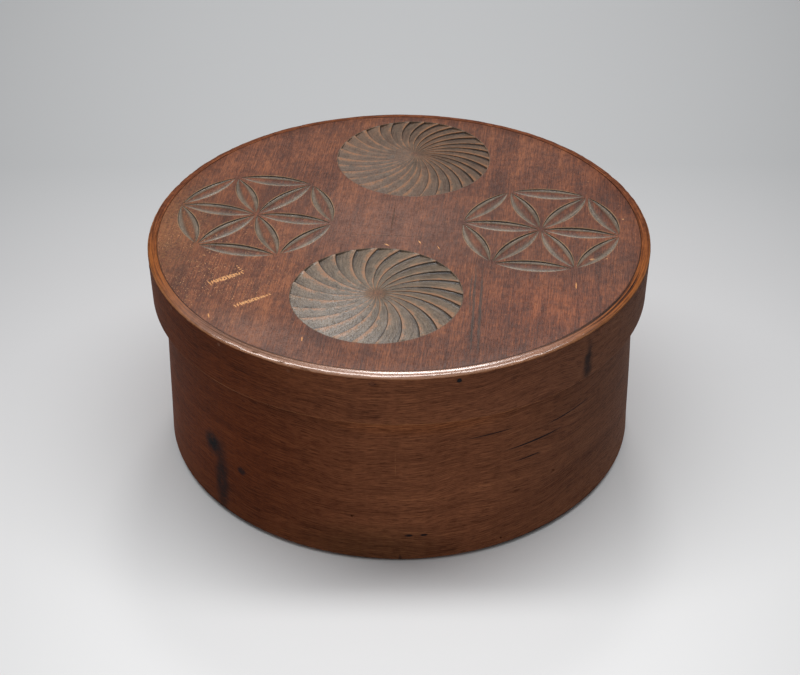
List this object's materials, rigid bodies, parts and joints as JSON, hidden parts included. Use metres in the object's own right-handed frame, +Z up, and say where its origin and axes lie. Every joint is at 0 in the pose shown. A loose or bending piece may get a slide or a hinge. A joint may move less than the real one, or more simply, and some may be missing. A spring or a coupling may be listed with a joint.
{
  "type": "lidded box",
  "caption": "Low round bentwood box with a carved lid that lifts off, pegged band and rim, dark reddish brown wood.",
  "frame": {"origin": "on the floor, on the axis of the round box", "axes": "+Z up along the axis of the box, +X to the right along the lid's left and right rosettes, -Y towards the front, with the laps of both strips at the back"},
  "size_m": [0.2998, 0.2998, 0.135],
  "materials": {
    "lid_wood": "worn satin",
    "strip_wood": "worn satin",
    "bottom_wood": "bare, dull",
    "peg_wood": "end grain, dull",
    "iron": "dark, rusted"
  },
  "bodies": {
    "box": {"body_band": "strip_wood", "bottom_board": "bottom_wood", "bottom_pegs": "peg_wood", "body_lap_nails": "iron"},
    "lid": {"lid_board": "lid_wood", "lid_rim": "strip_wood", "lid_pegs": "peg_wood", "lid_lap_nails": "iron"}
  },
  "joints": [
    {"name": "lid_lift", "type": "slide", "parent": "box", "child": "lid", "axis": [0, 0, 1], "range_m": [0, 0.15]}
  ]
}
